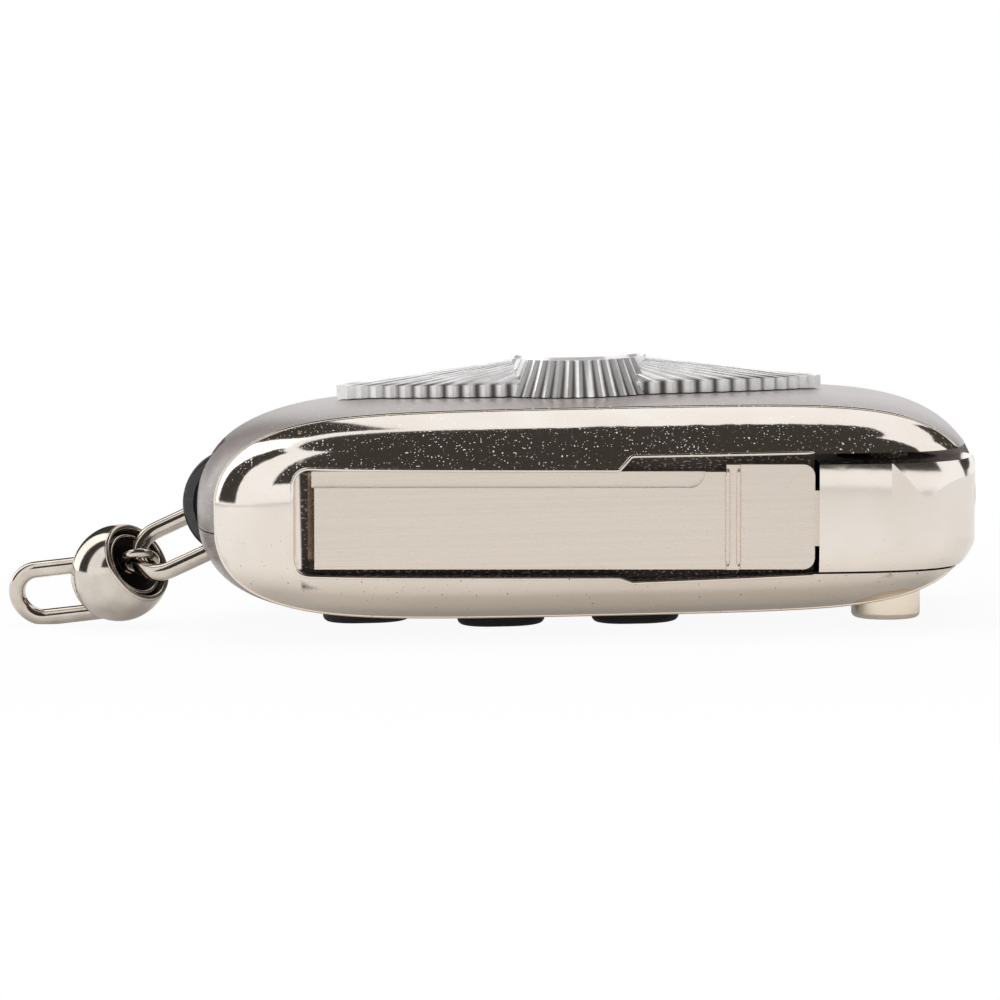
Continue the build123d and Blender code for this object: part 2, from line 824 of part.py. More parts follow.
# Ring loop: a bend of wire with two legs that end in the bottom of the cup
loop_x = Vector(*loop_way).normalized()
loop_across = (Vector(*loop_side) - loop_x * Vector(*loop_side).dot(loop_x)).normalized()
loop_plane = Plane(
    cup_plane.from_local_coords((0, 0, cup_back)), x_dir=loop_x, z_dir=loop_x.cross(loop_across)
)
loop_bend = loop_reach - loop_half_width
leg_lean = loop_half_width * loop_across.dot(cup_way)
leg_slope = -loop_x.dot(cup_way)
upper_leg = (leg_lean - loop_sink) / leg_slope
lower_leg = (-leg_lean - loop_sink) / leg_slope
with BuildPart() as ring_loop:
    add(wire_bend(loop_plane, loop_bend, loop_half_width, loop_wire, -180))
    add(wire_run(loop_plane, upper_leg, loop_bend, loop_half_width, loop_wire))
    add(wire_run(loop_plane, lower_leg, loop_bend, -loop_half_width, loop_wire))
ring_loop.part.label = "ring_loop"

# Swivel cup: a turned barrel, open towards the link, with a hole for the shank
cup_section = Plane(link_end, x_dir=cup_plane.x_dir, z_dir=cup_plane.x_dir.cross(cup_way))
with BuildPart() as swivel_barrel:
    with BuildSketch(cup_section):
        with BuildLine():
            Polyline(
                (mouth_radius, mouth_forward),
                (mouth_radius - cup_wall, mouth_forward),
                (mouth_radius - cup_wall, cup_back + cup_base),
                (eye_shank + shaft_gap, cup_back + cup_base),
                (eye_shank + shaft_gap, cup_back),
                (base_radius, cup_back),
            )
            ThreePointArc(
                (base_radius, cup_back),
                (belly_radius, cup_back + cup_length * cup_belly),
                (mouth_radius, mouth_forward),
            )
        make_face()
    revolve(axis=Axis(link_end, cup_way))
    add(ring_loop.part, mode=Mode.SUBTRACT)
swivel_barrel.part.label = "swivel_barrel"

# Liner: a thin tube that stands free in the mouth, pressed in by its foot
liner_outer = mouth_radius - cup_wall - liner_gap
with BuildPart() as swivel_liner:
    with BuildSketch(cup_plane.offset(cup_back + cup_base)):
        Circle(mouth_radius - cup_wall - press_gap)
    extrude(amount=liner_foot)
    with BuildSketch(cup_plane.offset(cup_back + cup_base)):
        Circle(liner_outer)
    extrude(amount=cup_length - cup_base - liner_inset)
    with BuildSketch(cup_plane.offset(cup_back + cup_base)):
        Circle(liner_outer - liner_wall)
    extrude(amount=cup_length, mode=Mode.SUBTRACT)
swivel_liner.part.label = "swivel_liner"

pieces = [
    side_frame.part,
    back_cover.part,
    front_cover.part,
    *caps,
    keypad_mat.part,
    board_tray.part,
    frame_screws.part,
    pivot_drum.part,
    blade.part,
    blade_pin.part,
    pivot_bush.part,
    release_button.part,
    flip_spring.part,
    badge.part,
    keyring_bow.part,
    link_ring.part,
    swivel_eye.part,
    ring_loop.part,
    swivel_barrel.part,
    swivel_liner.part,
]
for piece in pieces:
    export_step(piece, f"parts/{piece.label}.step")
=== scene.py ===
import json
import math

import bpy
import numpy as np
from mathutils import Matrix, Vector


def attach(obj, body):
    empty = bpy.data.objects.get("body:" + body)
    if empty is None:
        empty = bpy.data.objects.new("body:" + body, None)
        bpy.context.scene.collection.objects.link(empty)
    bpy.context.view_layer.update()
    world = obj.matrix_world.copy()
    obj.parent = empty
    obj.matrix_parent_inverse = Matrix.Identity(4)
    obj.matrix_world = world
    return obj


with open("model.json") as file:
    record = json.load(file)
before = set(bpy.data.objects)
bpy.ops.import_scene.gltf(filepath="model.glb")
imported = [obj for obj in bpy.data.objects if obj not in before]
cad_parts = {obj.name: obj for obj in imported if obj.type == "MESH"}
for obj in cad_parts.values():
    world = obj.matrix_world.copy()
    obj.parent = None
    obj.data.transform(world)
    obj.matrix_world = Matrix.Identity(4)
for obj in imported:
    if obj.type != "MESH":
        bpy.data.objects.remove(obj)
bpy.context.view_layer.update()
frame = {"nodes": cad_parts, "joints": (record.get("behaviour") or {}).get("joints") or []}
nodes = frame["nodes"]
scene = bpy.context.scene
scene.view_settings.view_transform = "Standard"

# Camera: a long lens a little above the resting plane, looking along +Y at the blade side,
# rolled so that the pivot end stands slightly higher in the picture.
aim = Vector((-0.00775, 0.0, 0.0117))
camera_distance = 0.6
camera_rise = math.radians(5.5)
camera_roll = math.radians(1.208)
nearest_seen = 0.01
lens_in_pixels = 6230.0
picture_pixels = 1000.0
sensor = 36.0

toward_camera = Vector((0.0, -math.cos(camera_rise), math.sin(camera_rise)))
level_up = Vector((0.0, math.sin(camera_rise), math.cos(camera_rise)))
camera_right = Vector((math.cos(camera_roll), 0, 0)) - level_up * math.sin(camera_roll)
camera_up = Vector((math.sin(camera_roll), 0, 0)) + level_up * math.cos(camera_roll)
camera_data = bpy.data.cameras.new("camera")
camera_data.sensor_width = sensor
camera_data.lens = lens_in_pixels * sensor / picture_pixels
camera_data.clip_start = nearest_seen
camera = bpy.data.objects.new("camera", camera_data)
turned = Matrix((camera_right, camera_up, toward_camera)).transposed().to_4x4()
camera.matrix_world = Matrix.Translation(aim + toward_camera * camera_distance) @ turned
scene.collection.objects.link(camera)
scene.camera = camera


# Covers: two injection moulded shells of hard plastic, sprayed with a dark satin lacquer whose
# fine metal flake gives it a grey sheen. They meet on a level line and screw to the side frame.
class Wire:
    """A shader socket. An operator on it adds the Math node it needs, also after a number."""

    def __init__(self, tree, socket):
        self.tree = tree
        self.socket = socket

    def node(self, kind, settings, values, output=0):
        """Adds a node: its settings first, then the values or wires of its sockets."""
        made = self.tree.nodes.new(kind)
        for key, value in settings.items():
            setattr(made, key, value)
        for key, value in values.items():
            if isinstance(value, Wire):
                self.tree.links.new(value.socket, made.inputs[key])
            else:
                made.inputs[key].default_value = value
        return Wire(self.tree, made.outputs[output])

    def maths(self, operation, first, second):
        """The Math node of this operation on two wires or numbers."""
        return self.node("ShaderNodeMath", {"operation": operation}, {0: first, 1: second})

    def __add__(self, other):
        return self.maths("ADD", self, other)

    def __radd__(self, other):
        return self.maths("ADD", other, self)

    def __sub__(self, other):
        return self.maths("SUBTRACT", self, other)

    def __rsub__(self, other):
        return self.maths("SUBTRACT", other, self)

    def __mul__(self, other):
        return self.maths("MULTIPLY", self, other)

    def __rmul__(self, other):
        return self.maths("MULTIPLY", other, self)

    def clamp(self):
        return self.node("ShaderNodeClamp", {}, {"Value": self})

    def above(self, start, full):
        """0 up to the start, 1 from full on, and a straight rise between them."""
        values = {"Value": self, "From Min": start, "From Max": full}
        return self.node("ShaderNodeMapRange", {"clamp": True}, values)

    def blend(self, first, second):
        """Colour that goes from the first to the second as this wire goes from 0 to 1."""
        values = {0: self, 6: first, 7: second}
        return self.node("ShaderNodeMix", {"data_type": "RGBA"}, values, 2)

    def noise(self, scale, detail=2.0, roughness=0.5):
        """Noise read at this point, with so many grains to the metre."""
        values = {"Vector": self, "Scale": scale, "Detail": detail, "Roughness": roughness}
        return self.node("ShaderNodeTexNoise", {}, values)

    def stretched(self, along, across, upwards):
        """This point with each direction multiplied, so that a pattern runs long in one."""
        values = {"Vector": self, "Scale": (along, across, upwards)}
        return self.node("ShaderNodeMapping", {}, values)

    def part(self, name):
        """The X, Y or Z of this point."""
        return self.node("ShaderNodeSeparateXYZ", {}, {0: self}, "XYZ".index(name))

    def vector_maths(self, operation, other=(0.0, 0.0, 0.0), output=0):
        """The Vector Math node of this operation on this point and another."""
        values = {0: self, 1: other}
        return self.node("ShaderNodeVectorMath", {"operation": operation}, values, output)

    def length(self):
        return self.vector_maths("LENGTH", output=1)

    def distance(self, centre, stretch):
        """How far this point lies from a centre, with each direction multiplied first."""
        return self.vector_maths("SUBTRACT", centre).vector_maths("MULTIPLY", stretch).length()

    def off_axis(self, centre, axis):
        """How far this point lies from a line through a centre along an axis of length 1."""
        return self.vector_maths("SUBTRACT", centre).vector_maths("CROSS_PRODUCT", axis).length()


def new_finish(name):
    """A material with a Principled surface, and the wire of its Object coordinates."""
    material = bpy.data.materials.new(name)
    material.use_nodes = True
    tree = material.node_tree
    surface = tree.nodes["Principled BSDF"]
    place = Wire(tree, tree.nodes.new("ShaderNodeTexCoord").outputs["Object"])
    return material, surface, place


def connect(node, **values):
    """Sets or links inputs of a node; an underscore in a name stands for a space."""
    for key, value in values.items():
        socket = node.inputs[key.replace("_", " ")]
        if isinstance(value, Wire):
            value.tree.links.new(value.socket, socket)
        else:
            socket.default_value = value


def relief(height, strength, distance):
    """Normal of a surface raised by this height."""
    values = {"Height": height, "Strength": strength, "Distance": distance}
    return height.node("ShaderNodeBump", {}, values)


def paint(material, *names):
    """Gives CAD nodes this finish through their material slots."""
    for name in names:
        mesh = nodes[name].data
        mesh.materials.clear()
        mesh.materials.append(material)


lacquer_deep = (0.112, 0.095, 0.090, 1.0)
lacquer_light = (0.330, 0.285, 0.272, 1.0)
lacquer_dust = (0.62, 0.59, 0.57, 1.0)
lacquer, surface, place = new_finish("satin_lacquer")
flake = place.noise(6500.0)
cloud = place.noise(120.0)
dust = place.noise(4200.0, 0.0).above(0.785, 0.81)
tone = (flake.above(0.30, 0.70) * 0.7 + cloud * 0.3).blend(lacquer_deep, lacquer_light)
connect(
    surface,
    Base_Color=dust.blend(tone, lacquer_dust),
    Roughness=0.40 + flake * 0.16,
    Normal=relief(flake, 0.45, 0.00003),
    Coat_Weight=1.0,
    Coat_Roughness=0.30,
)
paint(lacquer, "back_cover", "front_cover")

# Side frame, pivot drum and release button: zinc castings, polished and plated in a warm nickel.
# The plating has fine pits along the lower side, and dust lies on the parts that face up. Its colour
# is painted warmer towards the bottom, a painted reflection of the floor, and painted dark deep in
# the slot, the drum's bore and round the button's flange, as painted shade with painted glints.
# Each pair of numbers is where a change of the finish starts, and where it is full, in metres.
plating_warm = (0.86, 0.785, 0.71, 1.0)
plating_pale = (0.90, 0.84, 0.78, 1.0)
# Painted floor reflection: the plating's warmer tone towards the bottom.
painted_floor_reflection = (0.90, 0.79, 0.65, 1.0)
plating_pit = (0.16, 0.12, 0.10, 1.0)
plating_dust = (0.78, 0.76, 0.73, 1.0)
# Painted shade deep in the slot, the drum's bore, the cup and round the button's flange, and painted
# glints in it.
painted_recess_shade = (0.10, 0.08, 0.07, 1.0)
painted_glint = (0.62, 0.54, 0.46, 1.0)
dust_heights = (0.0130, 0.0170)
pit_heights = (0.0130, 0.0070)
painted_reflection_heights = (0.0085, 0.0020)
slot_depth = (-0.0176, -0.0172)
slot_floor = (0.0052, 0.0056)
slot_roof = (0.0176, 0.0172)
slot_left = (-0.0266, -0.0264)
slot_right = (0.0290, 0.0285)
bore_wall = (0.0048, 0.0046)
button_flange = (0.0056, 0.0060)
joints = {joint["name"]: joint for joint in frame["joints"]}
pivot = joints["blade_flip"]["pos_m"]
pivot_axis = joints["blade_flip"]["axis"]


def plated(name, dust_share, pit_share, polish, recess):
    """Warm nickel plating, with dust on its upper side and pits on its lower side.

    Towards the bottom its colour is painted warmer, a painted reflection of the floor.
    The recess wire is 1 where the surface lies deep inside: there the colour is painted shade,
    with painted glints, and the plating is made rougher and less metallic.
    """
    material, surface, place = new_finish(name)
    height = place.part("Z")
    cloud = place.noise(160.0)
    speck = place.noise(5600.0, 0.0).above(0.735, 0.765)
    speck = speck * place.noise(420.0).above(0.30, 0.60)
    speck = speck * height.above(*dust_heights) * dust_share
    pit = place.noise(3400.0, 2.0, 0.6).above(0.70, 0.73)
    pit = pit * height.above(*pit_heights) * pit_share
    grain = place.noise(14000.0)
    tone = cloud.above(0.35, 0.65).blend(plating_pale, plating_warm)
    # Painted floor reflection: the colour turns warmer towards the bottom.
    tone = height.above(*painted_reflection_heights).blend(tone, painted_floor_reflection)
    tone = pit.blend(tone, plating_pit)
    # Painted shade deep inside, with painted glints in it.
    deep = recess(place)
    glint = place.stretched(2600.0, 2600.0, 5200.0).noise(1.0, 1.0).above(0.60, 0.64)
    dull = (speck + deep).clamp()
    connect(
        surface,
        Base_Color=deep.blend(speck.blend(tone, plating_dust), glint.blend(painted_recess_shade, painted_glint)),
        Metallic=1.0 - dull * 0.9,
        Roughness=(polish + cloud * 0.05 + dull * 0.5 + pit * 0.3).clamp(),
        Normal=relief(grain, 0.02, 0.00002),
    )
    return material


# Masks of the painted shade: 1 where the plating lies deep in the slot, in the drum's bore and on
# the button's flange and stem.
def inside_frame(place):
    """1 inside the slot, behind the blade's face; 0 on the outer skin."""
    level = place.part("Z")
    along = place.part("X")
    inside = place.part("Y").above(*slot_depth)
    inside = inside * level.above(*slot_floor) * level.above(*slot_roof)
    return inside * along.above(*slot_left) * along.above(*slot_right)


def inside_drum(place):
    """1 inside the drum's bore; 0 on the outer skin."""
    return place.off_axis(pivot, pivot_axis).above(*bore_wall)


def inside_cover(place):
    """1 on the release button's flange and stem; 0 on its round head."""
    return place.part("Z").above(*button_flange)


frame_plating = plated("frame_plating", 1.0, 1.0, 0.06, inside_frame)
drum_plating = plated("drum_plating", 0.10, 0.4, 0.10, inside_drum)
button_plating = plated("button_plating", 0.0, 0.3, 0.14, inside_cover)
paint(frame_plating, "side_frame")
paint(drum_plating, "pivot_drum")
paint(button_plating, "release_button")

# Slot lip: round the mouth of the slot the frame's casting is turned over in a fine bead,
# polished and plated with the rest. It lies on the body's rounded skin, in millimetres here,
# and the mouth is measured from the pivot, along the blade and across it.
reach_left = 37.0
reach_right = 38.2
half_width = 20.0
rise_above = 10.55
drop_below = 10.65
middle_height = 11.7
end_power_left = 5.0
end_power_right = 5.4
end_crown_power = 2.46
side_power = 2.9
side_crown_power = 4.06
corner_power_left = 3.5
corner_power_right = 5.0
corner_power_side = 4.1
halvings = 40

mouth_left = -55.9
mouth_step = (-25.5, -24.3)
mouth_right = -7.2
# Lower and upper edges of the mouth: beside the blade, after the step and at the drum.
mouth_low = (-5.40, -5.85, -5.15)
mouth_high = (4.55, 5.85, 6.15)
mouth_corner_radius = 1.8
mouth_step_radius = 0.4
arc_points = 9
lip_radius = 0.17
lip_out = 0.10
lip_spacing = 0.2
bead_sides = 12
bead_taper = 3.0
millimetre = 0.001


def pull(power):
    """Share of the reach at which a cubic quarter follows a rounded outline of this power."""
    return (8 * 0.5 ** (1 / power) - 4) / 3


def quarter(share, end_pull, side_pull):
    """Along and across shares of a cubic quarter, from the body's end at 0 to its side at 1."""
    rest = 1 - share
    along = rest**3 + 3 * rest**2 * share + 3 * rest * share**2 * end_pull
    across = 3 * rest**2 * share * side_pull + 3 * rest * share**2 + share**3
    return along, across


def end_reach(level, right):
    """Reach of the body's ends at a share of its height: a crown, rounded by its powers."""
    crown = 1 - np.abs(level) ** end_crown_power
    right_end = reach_right * crown ** (1 / end_power_right)
    return np.where(right, right_end, reach_left * crown ** (1 / end_power_left))


def skin_y(x, z):
    """Y of the near skin over a point of the XZ plane.

    The quarter's share that has this X is found by halving its range; its side there gives Y.
    """
    level = (z - middle_height) / np.where(z > middle_height, rise_above, drop_below)
    right = x > 0
    end = end_reach(level, right)
    side = half_width * (1 - np.abs(level) ** side_crown_power) ** (1 / side_power)
    end_pull = np.where(right, pull(corner_power_right), pull(corner_power_left))
    side_pull = pull(corner_power_side)
    low = np.zeros_like(x)
    high = np.ones_like(x)
    for _ in range(halvings):
        guess = (low + high) / 2
        outside = quarter(guess, end_pull, side_pull)[0] * end > np.abs(x)
        low = np.where(outside, guess, low)
        high = np.where(outside, high, guess)
    return -side * quarter(low, end_pull, side_pull)[1]


def evenly(points, spacing):
    """Points at even steps along a line of points."""
    length = np.concatenate([[0], np.cumsum(np.linalg.norm(np.diff(points, axis=0), axis=1))])
    marks = np.arange(0, length[-1], spacing)
    return np.stack([np.interp(marks, length, column) for column in points.T], axis=1)


def rounded(corners, radii, spacing):
    """Even points along a line through the corners, each corner cut by a curve.

    The curve is a parabola that touches both sides where an arc of the radius would.
    """
    corners = [np.array(corner, dtype=float) for corner in corners]
    points = [corners[0]]
    for before, corner, after, radius in zip(corners, corners[1:], corners[2:], radii):
        back = (before - corner) / np.linalg.norm(before - corner)
        onward = (after - corner) / np.linalg.norm(after - corner)
        half_angle = np.arccos(np.clip(back @ onward, -1, 1)) / 2
        cut = radius / np.tan(half_angle)
        share = np.linspace(0, 1, arc_points)[:, None]
        bend = (1 - share) ** 2 * (corner + back * cut) + share**2 * (corner + onward * cut)
        points.extend(bend + 2 * share * (1 - share) * corner)
    points.append(corners[-1])
    return evenly(np.array(points), spacing)


def raked(along, across):
    """X and Z of a point of the folding mechanism, from its place beside the pivot."""
    x = pivot[0] / millimetre + along * pivot_axis[2] + across * pivot_axis[0]
    z = pivot[2] / millimetre - along * pivot_axis[0] + across * pivot_axis[2]
    return x, z


def full_turn(count):
    """Angles of so many points, evenly round a circle."""
    return np.linspace(0, 2 * np.pi, count, endpoint=False)


def skin_of(name, grid, finish, rows_close=False, columns_close=False):
    """Smooth skin over a grid of points, each joined to its neighbours by four-sided faces.

    Where rows or columns close, the last line of points is joined to the first.
    """
    rows, columns = grid.shape[:2]
    index = np.arange(rows * columns).reshape(rows, columns)
    index = np.pad(index, ((0, int(rows_close)), (0, int(columns_close))), mode="wrap")
    faces = np.stack([index[:-1, :-1], index[1:, :-1], index[1:, 1:], index[:-1, 1:]], axis=-1)
    mesh = bpy.data.meshes.new(name)
    mesh.from_pydata(grid.reshape(-1, 3).tolist(), [], faces.reshape(-1, 4).tolist())
    mesh.polygons.foreach_set("use_smooth", np.ones(len(mesh.polygons), dtype=bool))
    mesh.materials.append(finish)
    made = bpy.data.objects.new(name, mesh)
    scene.collection.objects.link(made)
    return made


def bead(name, path, radius, finish, body):
    """Wire along a path in millimetres: a circle carried along it, drawn in at both ends.

    The circle stands square to the path, on its side direction and their cross product.
    """
    way = np.gradient(path, axis=0)
    way /= np.linalg.norm(way, axis=1, keepdims=True)
    side = np.cross(way, (0.0, -1.0, 0.0))
    side /= np.linalg.norm(side, axis=1, keepdims=True)
    out = np.cross(side, way)
    steps = np.arange(len(path))
    reach = radius * np.sqrt(np.clip(np.minimum(steps, steps[::-1]) / bead_taper, 0.0, 1.0))
    turn = full_turn(bead_sides)[None, :, None]
    ring = side[:, None] * np.cos(turn) + out[:, None] * np.sin(turn)
    grid = (path[:, None] + ring * reach[:, None, None]) * millimetre
    made = skin_of(name, grid, finish, columns_close=True)
    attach(made, body)


mouth_corners = [
    (mouth_right, mouth_low[2] - lip_out),
    (mouth_step[1], mouth_low[1] - lip_out),
    (mouth_step[0], mouth_low[0] - lip_out),
    (mouth_left - lip_out, mouth_low[0] - lip_out),
    (mouth_left - lip_out, mouth_high[0] + lip_out),
    (mouth_step[0], mouth_high[0] + lip_out),
    (mouth_step[1], mouth_high[1] + lip_out),
    (mouth_right, mouth_high[2] + lip_out),
]
mouth_radii = [mouth_step_radius] * 2 + [mouth_corner_radius] * 2 + [mouth_step_radius] * 2
lip = rounded(mouth_corners, mouth_radii, lip_spacing)
lip_x, lip_z = raked(lip[:, 0], lip[:, 1])
lip_path = np.stack([lip_x, skin_y(lip_x, lip_z), lip_z], axis=1)
bead("slot_lip", lip_path, lip_radius, frame_plating, "shell")

# Seam edge: where the frame meets the covers its rim is turned over in a finer bead of the same
# plated casting. It follows the skin at the seam's depth and stops at the drum's opening.
seam_reach = 12.88
seam_radius = 0.13
seam_spacing = 0.25
drum_left = 27.0
drum_low = 5.62
drum_high = 16.98
shares = np.linspace(0.0, 1.0, 4001)
seam = []
for right, up in ((True, False), (False, False), (False, True), (True, True)):
    end_pull = pull(corner_power_right if right else corner_power_left)
    along, across = quarter(shares, end_pull, pull(corner_power_side))
    wide = across * half_width >= seam_reach
    side_share = seam_reach / (across[wide] * half_width)
    level = (1 - side_share**side_power) ** (1 / side_crown_power)
    x = along[wide] * end_reach(level, right) * (1 if right else -1)
    z = middle_height + level * (rise_above if up else -drop_below)
    order = 1 if right != up else -1
    seam.append(np.stack([x, np.full_like(x, -seam_reach), z], axis=1)[::order])
seam = np.concatenate(seam)
seam = seam[(seam[:, 0] < drum_left) | (seam[:, 2] < drum_low) | (seam[:, 2] > drum_high)]
bead("seam_edge", evenly(seam, seam_spacing), seam_radius, frame_plating, "shell")

# Badge: a moulded plastic medallion with bright plating, glued on the crown of the back cover.
# The valleys of the reeding on its plate's rim and its boss's skirt are painted dark, as painted
# shade, and made rougher and less metallic. Rims are shares of the plate's and the skirt's half
# sizes, heights are in metres.
silver_light = (0.94, 0.94, 0.94, 1.0)
silver_grey = (0.80, 0.79, 0.79, 1.0)
# Painted shade for the valleys of the reeding.
painted_valley_shade = (0.13, 0.115, 0.105, 1.0)
badge_middle = (0.0, 0.0, 0.0)
plate_shrink = (1 / 0.0233, 1 / 0.005, 0.0)
plate_rim_outside = (0.975, 0.945)
plate_rim_inside = (0.86, 0.90)
plate_top = (0.02345, 0.02315)
skirt_shrink = (1 / 0.00865, 1 / 0.0079, 0.0)
skirt_rim_outside = (0.984, 0.966)
skirt_rim_inside = (0.90, 0.93)
skirt_heights = (0.02135, 0.02545)
skirt_taper = 0.257
skirt_top = (0.02545, 0.02535)
silver, surface, place = new_finish("bright_plating")
cloud = place.noise(900.0, 3.0)
height = place.part("Z")
plate_share = place.distance(badge_middle, plate_shrink)
plate_valley = plate_share.above(*plate_rim_outside) * plate_share.above(*plate_rim_inside)
plate_valley = plate_valley * height.above(*plate_top)
skirt_share = place.distance(badge_middle, skirt_shrink)
skirt_share = skirt_share + height.above(*skirt_heights) * skirt_taper
skirt_valley = skirt_share.above(*skirt_rim_outside) * skirt_share.above(*skirt_rim_inside)
skirt_valley = skirt_valley * height.above(*skirt_top)
valley = (plate_valley + skirt_valley).clamp()
connect(
    surface,
    Base_Color=valley.blend(cloud.above(0.3, 0.7).blend(silver_light, silver_grey), painted_valley_shade),
    Metallic=0.60 - valley * 0.3,
    Roughness=0.12 + cloud * 0.12 + valley * 0.25,
)
paint(silver, "badge")

# Key ring bow: a cast ring with black gloss plating, held by its bar between the covers. The
# gloss is worn in patches.
black_gloss = (0.012, 0.012, 0.014, 1.0)
black_worn = (0.050, 0.048, 0.046, 1.0)
gloss, surface, place = new_finish("black_gloss")
wear = place.noise(1800.0, 3.0).above(0.55, 0.72)
connect(
    surface,
    Base_Color=wear.blend(black_gloss, black_worn),
    Roughness=0.12 + wear * 0.2,
    Coat_Weight=0.5,
)
paint(gloss, "keyring_bow")

# Blade: an uncut steel blank, ground along its length and nickel plated. Its tang is pinned in
# the drum.
steel_light = (0.81, 0.725, 0.645, 1.0)
steel_deep = (0.78, 0.695, 0.615, 1.0)
blade_steel, surface, place = new_finish("brushed_blade")
streak = place.stretched(25.0, 5000.0, 5000.0).noise(1.0, 3.0)
scuff = place.noise(900.0, 3.0).above(0.60, 0.72)
connect(
    surface,
    Base_Color=streak.above(0.3, 0.7).blend(steel_light, steel_deep),
    Metallic=1.0,
    Roughness=0.25 + streak * 0.05 + scuff * 0.04,
)
paint(blade_steel, "blade")

# Ridges: two fine rolls up the face of the blade's collar, of one piece with it. They are
# pressed into the same steel before it is plated, and stand straight across the blade.
ridge_radius = 0.22
ridge_depth = 18.17
ridge_rise = np.linspace(-4.55, 4.8, 60)
for name, ridge_along in (("ridge_left", -15.3), ("ridge_right", -14.3)):
    ridge_x, ridge_z = raked(ridge_along, ridge_rise)
    ridge = np.stack([ridge_x, np.full_like(ridge_x, -ridge_depth), ridge_z], axis=1)
    bead(name, ridge, ridge_radius, blade_steel, "flip_key")

# Pin, screws and spring: plain drawn steel, cut and coiled cold. The pin is pressed through drum
# and tang, the screws hold the side frame, and the spring sits in the drum.
drawn_light = (0.58, 0.58, 0.58, 1.0)
drawn_deep = (0.42, 0.42, 0.43, 1.0)
drawn_steel, surface, place = new_finish("drawn_steel")
cloud = place.noise(2000.0, 3.0)
connect(
    surface,
    Base_Color=cloud.blend(drawn_light, drawn_deep),
    Metallic=1.0,
    Roughness=0.28 + cloud * 0.1,
)
paint(drawn_steel, "blade_pin", "frame_screws", "flip_spring")


# Bush and board tray: small mouldings in plain nylon, one white and one black. The bush sits in
# the back cover, where the drum's spigot turns in it, and the tray lies between the covers.
def moulded(name, grains, light, deep, roughness):
    """Plain nylon with a fine cloud in its colour."""
    material, surface, place = new_finish(name)
    connect(surface, Base_Color=place.noise(grains).blend(light, deep), Roughness=roughness)
    return material


nylon_white = (0.78, 0.77, 0.73, 1.0)
nylon_cream = (0.66, 0.65, 0.61, 1.0)
nylon_black = (0.018, 0.018, 0.018, 1.0)
nylon_grey = (0.04, 0.04, 0.04, 1.0)
paint(moulded("white_nylon", 5000.0, nylon_white, nylon_cream, 0.5), "pivot_bush")
paint(moulded("black_nylon", 6000.0, nylon_black, nylon_grey, 0.55), "board_tray")

# Button caps and keypad mat: black moulded rubber, with a fine eroded grain on the caps. The
# caps stand on the mat's domes and pass through the front cover.
cap_deep = (0.010, 0.010, 0.010, 1.0)
cap_light = (0.032, 0.031, 0.030, 1.0)
rubber, surface, place = new_finish("cap_rubber")
grain = place.noise(7000.0, 3.0)
connect(
    surface,
    Base_Color=grain.blend(cap_deep, cap_light),
    Roughness=0.52 + grain * 0.12,
    Normal=relief(grain, 0.3, 0.00003),
)
paint(rubber, "button_left", "button_middle", "button_right", "keypad_mat")

# Link, eye and ring loop: brass wire, bent round and closed, and plated in bright nickel that
# is lightly scratched.
chain_light = (0.74, 0.68, 0.61, 1.0)
chain_warm = (0.62, 0.55, 0.48, 1.0)
chain, surface, place = new_finish("chain_nickel")
cloud = place.noise(420.0, 3.0)
scratch = place.stretched(700.0, 700.0, 5200.0).noise(1.0, 3.0).above(0.62, 0.72)
connect(
    surface,
    Base_Color=cloud.above(0.35, 0.65).blend(chain_light, chain_warm),
    Metallic=1.0,
    Roughness=0.09 + cloud * 0.06 + scratch * 0.10,
)
paint(chain, "link_ring", "swivel_eye", "ring_loop")

# Cup and liner of the swivel: turned brass with the same plating, painted dark inside as painted
# shade, and rougher and less metallic there. The liner is pressed into the cup's mouth.
cup_middle = joints["barrel_swivel"]["pos_m"]
cup_axis = joints["barrel_swivel"]["axis"]
cup_wall = (0.00352, 0.00356)
liner_wall = (0.00278, 0.00282)


# Painted shade: the plating is painted dark nearer the cup's axis than the wall's inner side.
def hollow(name, wall):
    """Chain plating that is dark nearer the cup's axis than the wall's inner side."""
    material, surface, place = new_finish(name)
    cloud = place.noise(420.0, 3.0)
    bright = place.off_axis(cup_middle, cup_axis).above(*wall)
    tone = cloud.above(0.35, 0.65).blend(chain_light, chain_warm)
    connect(
        surface,
        Base_Color=bright.blend(painted_recess_shade, tone),
        Metallic=0.3 + bright * 0.7,
        Roughness=0.55 - bright * (0.46 - cloud * 0.06),
    )
    return material


paint(hollow("cup_plating", cup_wall), "swivel_barrel")
paint(hollow("liner_plating", liner_wall), "swivel_liner")


# Rolled lips: the mouths of cup and liner are turned over in a round edge of the same brass,
# which keeps its bright plating.
def rolled_lip(name, forward, reach, radius):
    """Ring of wire round the cup's axis, so far forward along it, in millimetres.

    A point stands out from the axis by reach + radius * cos(turn), and forward of the ring's
    own level by radius * sin(turn).
    """
    way = Vector(cup_axis).normalized()
    side = way.orthogonal().normalized()
    up = np.array(way.cross(side))
    way = np.array(way)
    side = np.array(side)
    around, turn = np.meshgrid(full_turn(96), full_turn(16), indexing="ij")
    outward = np.cos(around)[..., None] * side + np.sin(around)[..., None] * up
    grid = outward * (reach + radius * np.cos(turn))[..., None]
    grid = grid + way * (forward + radius * np.sin(turn))[..., None]
    grid = np.array(cup_middle) + grid * millimetre
    made = skin_of(name, grid, chain, rows_close=True, columns_close=True)
    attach(made, "swivel")


rolled_lip("cup_lip", -0.30, 3.76, 0.27)
rolled_lip("liner_lip", -0.68, 2.97, 0.22)


# Floor: a white board. The camera and mirrors see it white, and it keeps a soft contact shadow,
# which fades out round the key.
def empty_finish(name):
    """A material with an empty tree, and a wire in it from which nodes are added."""
    material = bpy.data.materials.new(name)
    material.use_nodes = True
    material.node_tree.nodes.clear()
    return material, Wire(material.node_tree, None)


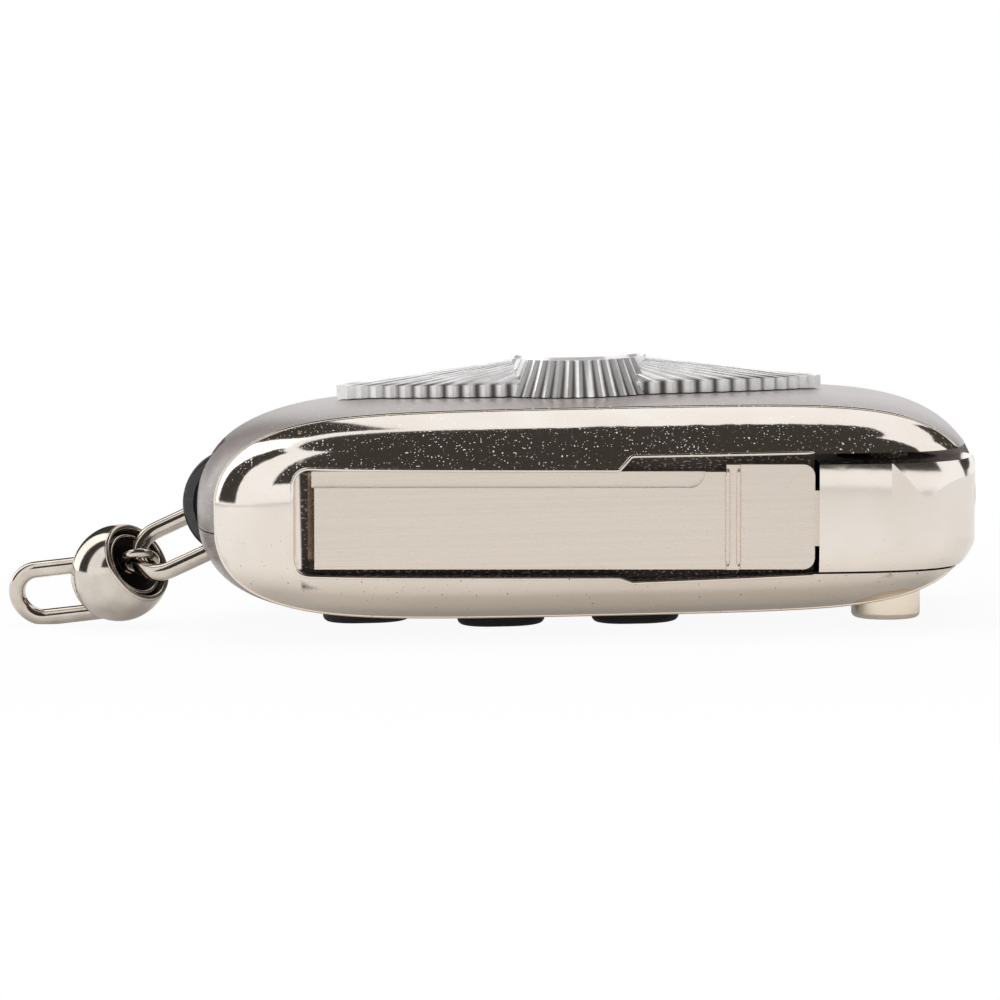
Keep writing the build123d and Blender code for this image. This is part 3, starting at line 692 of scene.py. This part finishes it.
def show(shader):
    """Sends this shader to the surface of its material."""
    output = shader.tree.nodes.new("ShaderNodeOutputMaterial")
    shader.tree.links.new(shader.socket, output.inputs["Surface"])


def ray(start, kind):
    """1 on rays of this kind, 0 on all others."""
    return start.node("ShaderNodeLightPath", {}, {}, f"Is {kind} Ray")


board_colour = (0.60, 0.59, 0.58, 1.0)
white = (1.0, 1.0, 1.0, 1.0)
board_half = 1.5
key_middle = (-0.008, 0.0, 0.0)
shadow_stretch = (1.0, 1.6, 1.0)
shadow_fade = (0.06, 0.16)
board_finish, start = empty_finish("white_board")
ground = start.node("ShaderNodeTexCoord", {}, {}, "Object")
open_floor = ground.distance(key_middle, shadow_stretch).above(*shadow_fade)
share = (ray(start, "Camera") * (0.94 + open_floor * 0.06) + ray(start, "Glossy") * 0.25).clamp()
lit = start.node("ShaderNodeBsdfDiffuse", {}, {"Color": board_colour})
glow = start.node("ShaderNodeEmission", {}, {"Color": white, "Strength": 1.0})
show(start.node("ShaderNodeMixShader", {}, {0: share, 1: lit, 2: glow}))
board_edge = np.array((-board_half, board_half))
board_x, board_y = np.meshgrid(board_edge, board_edge, indexing="ij")
board_grid = np.stack([board_x, board_y, np.zeros_like(board_x)], axis=-1)
skin_of("white_board", board_grid, board_finish)

# Room: white to the camera and in mirrors, and a plain grey light on everything else, as from
# the walls of a studio.
room_light = 0.55
room = bpy.data.worlds.new("room")
scene.world = room
room.use_nodes = True
start = Wire(room.node_tree, None)
straight = (ray(start, "Camera") + ray(start, "Glossy") + ray(start, "Transmission")).clamp()
background = room.node_tree.nodes["Background"]
connect(background, Color=white, Strength=room_light + straight * (1.0 - room_light))


# Cards of the studio: a dark ceiling, dark flags to the left and right, and a soft box between
# the flags on the left. They are seen only as reflections in the plating.
def card(name, radius, turns, rises, colour, strength):
    """Curved card that only mirrors see: a patch of a sphere round the key.

    A point stands at the radius, turned from -Y towards -X, and raised above the floor.
    """
    turn, rise = np.meshgrid(
        np.radians(np.linspace(*turns, 25)), np.radians(np.linspace(*rises, 17)), indexing="ij"
    )
    level = np.cos(rise)
    grid = np.stack([-np.sin(turn) * level, -np.cos(turn) * level, np.sin(rise)], axis=-1)
    finish, start = empty_finish(name)
    show(start.node("ShaderNodeEmission", {}, {"Color": colour, "Strength": strength}))
    made = skin_of(name, grid * radius + np.array(aim), finish)
    made.visible_camera = False
    made.visible_diffuse = False
    made.visible_shadow = False
    made.visible_transmission = False


dark = (0.050, 0.044, 0.040, 1.0)
warm_white = (1.0, 0.98, 0.96, 1.0)
card("dark_ceiling", 0.9, (-75, 50), (14, 90), dark, 1.0)
card("dark_ceiling_back", 0.9, (50, 285), (66, 90), dark, 1.0)
card("dark_left_front", 0.85, (84, 112), (1, 60), dark, 1.0)
card("dark_left_back", 0.85, (146, 171), (1, 60), dark, 1.0)
card("soft_box_left", 0.80, (112, 146), (0.5, 62), warm_white, 1.5)
card("dark_right_back", 0.85, (-150, -118), (6, 40), dark, 1.0)


# Lamps: a wide soft box over the key and a smaller one from the left, both square. They light
# the key and the board, and mirrors don't see them.
def lamp(name, place, size, power):
    """Square area lamp that faces the key."""
    data = bpy.data.lights.new(name, "AREA")
    data.shape = "SQUARE"
    data.size = size
    data.energy = power
    made = bpy.data.objects.new(name, data)
    made.location = place
    made.rotation_euler = (aim - Vector(place)).to_track_quat("-Z", "Y").to_euler()
    made.visible_glossy = False
    scene.collection.objects.link(made)


lamp("top_box", (0.0, 0.05, 0.6), 0.5, 3.2)
lamp("left_box", (-0.55, -0.15, 0.30), 0.35, 1.6)
